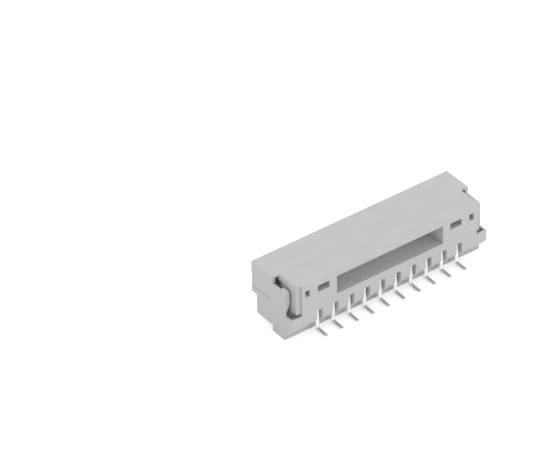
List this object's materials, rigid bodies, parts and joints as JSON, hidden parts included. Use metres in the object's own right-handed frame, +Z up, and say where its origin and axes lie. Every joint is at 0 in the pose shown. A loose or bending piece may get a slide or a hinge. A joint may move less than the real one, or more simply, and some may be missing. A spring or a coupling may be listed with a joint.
{
  "type": "right-angle pin header",
  "caption": "Shrouded surface-mount pin header: a grey moulded housing with one row of right-angle contacts, a plug cavity, a lock window and solder nails.",
  "frame": {"origin": "on the board plane, under the middle of the outline (housing and solder feet)", "axes": "+X along the contact row, -Y towards the mating plug, +Y towards the solder feet, +Z up from the board"},
  "size_m": [0.0158, 0.0048, 0.0043],
  "materials": {
    "housing_moulding": "smooth moulded, light grey",
    "contact_tin": "bright tin plating on copper alloy",
    "nail_tin": "bright tin plating on brass"
  },
  "bodies": {
    "root": {"housing": "housing_moulding", "contact_01": "contact_tin", "contact_02": "contact_tin", "contact_03": "contact_tin", "contact_04": "contact_tin", "contact_05": "contact_tin", "contact_06": "contact_tin", "contact_07": "contact_tin", "contact_08": "contact_tin", "contact_09": "contact_tin", "contact_10": "contact_tin", "fitting_nail_left": "nail_tin", "fitting_nail_right": "nail_tin"}
  },
  "joints": []
}
